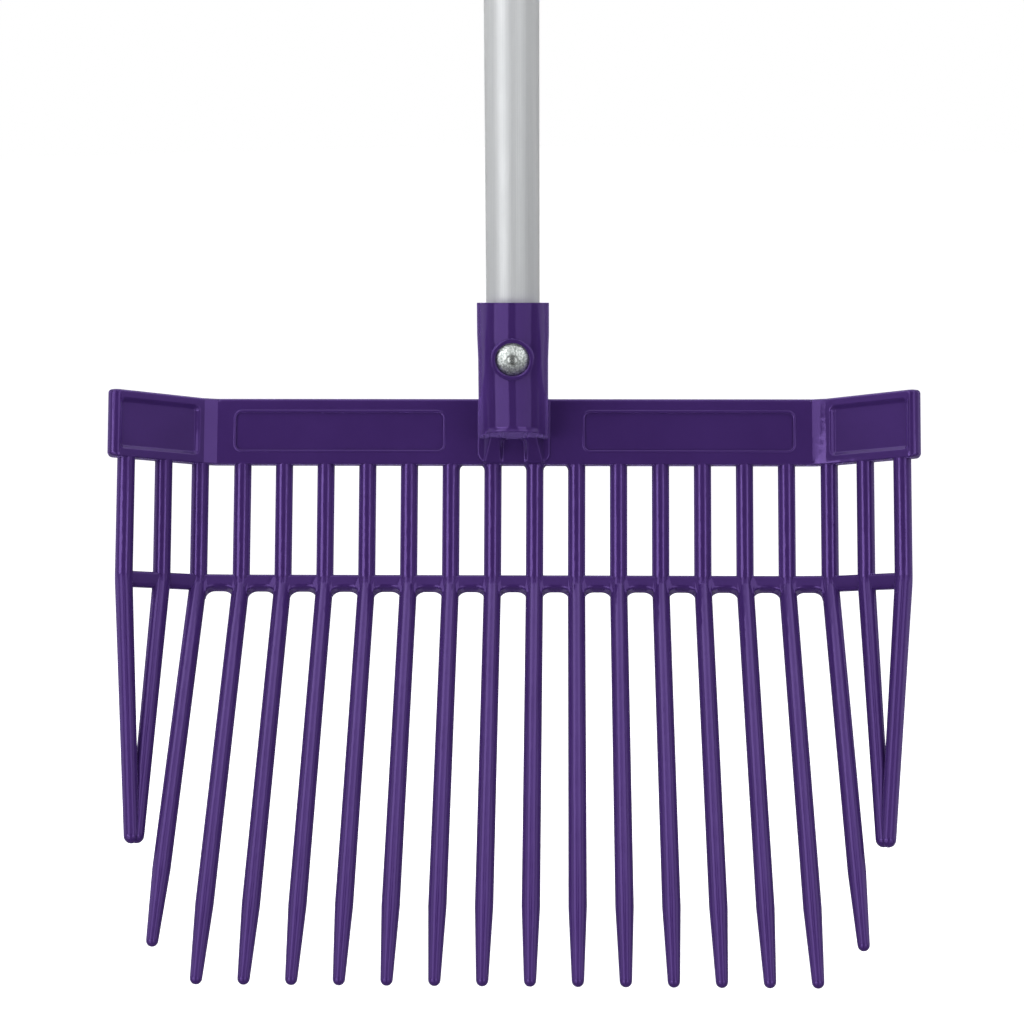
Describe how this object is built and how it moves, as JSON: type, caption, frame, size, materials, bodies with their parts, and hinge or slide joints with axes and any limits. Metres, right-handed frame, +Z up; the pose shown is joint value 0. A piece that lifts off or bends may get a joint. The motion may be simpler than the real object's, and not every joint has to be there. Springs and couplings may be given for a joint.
{
  "type": "manure fork",
  "caption": "Stable fork with a moulded plastic basket head of forward-bent tines and winged sides, bolted to an aluminium tube handle.",
  "frame": {"origin": "on the handle tube's axis, level with the highest point of the socket's rim", "axes": "+Z up along the handle, -Y towards the open front of the basket, +X to the right seen from the front"},
  "size_m": [0.3872, 0.2192, 1.4651],
  "materials": {
    "moulded_plastic": "glossy injection-moulded",
    "aluminium_tube": "satin drawn tube",
    "cap_plastic": "matt moulded",
    "zinc_steel": "bright zinc plate"
  },
  "bodies": {
    "root": {"bar": "moulded_plastic", "left_wing": "moulded_plastic", "right_wing": "moulded_plastic", "socket": "moulded_plastic", "brace": "moulded_plastic", "tine_01": "moulded_plastic", "tine_02": "moulded_plastic", "tine_03": "moulded_plastic", "tine_04": "moulded_plastic", "tine_05": "moulded_plastic", "tine_06": "moulded_plastic", "tine_07": "moulded_plastic", "tine_08": "moulded_plastic", "tine_09": "moulded_plastic", "tine_10": "moulded_plastic", "tine_11": "moulded_plastic", "tine_12": "moulded_plastic", "tine_13": "moulded_plastic", "tine_14": "moulded_plastic", "tine_15": "moulded_plastic", "tine_16": "moulded_plastic", "tine_17": "moulded_plastic", "tine_18": "moulded_plastic", "tine_19": "moulded_plastic", "tine_20": "moulded_plastic", "handle_tube": "aluminium_tube", "end_cap": "cap_plastic", "bolt": "zinc_steel", "washer": "zinc_steel", "nut": "zinc_steel"}
  },
  "joints": []
}
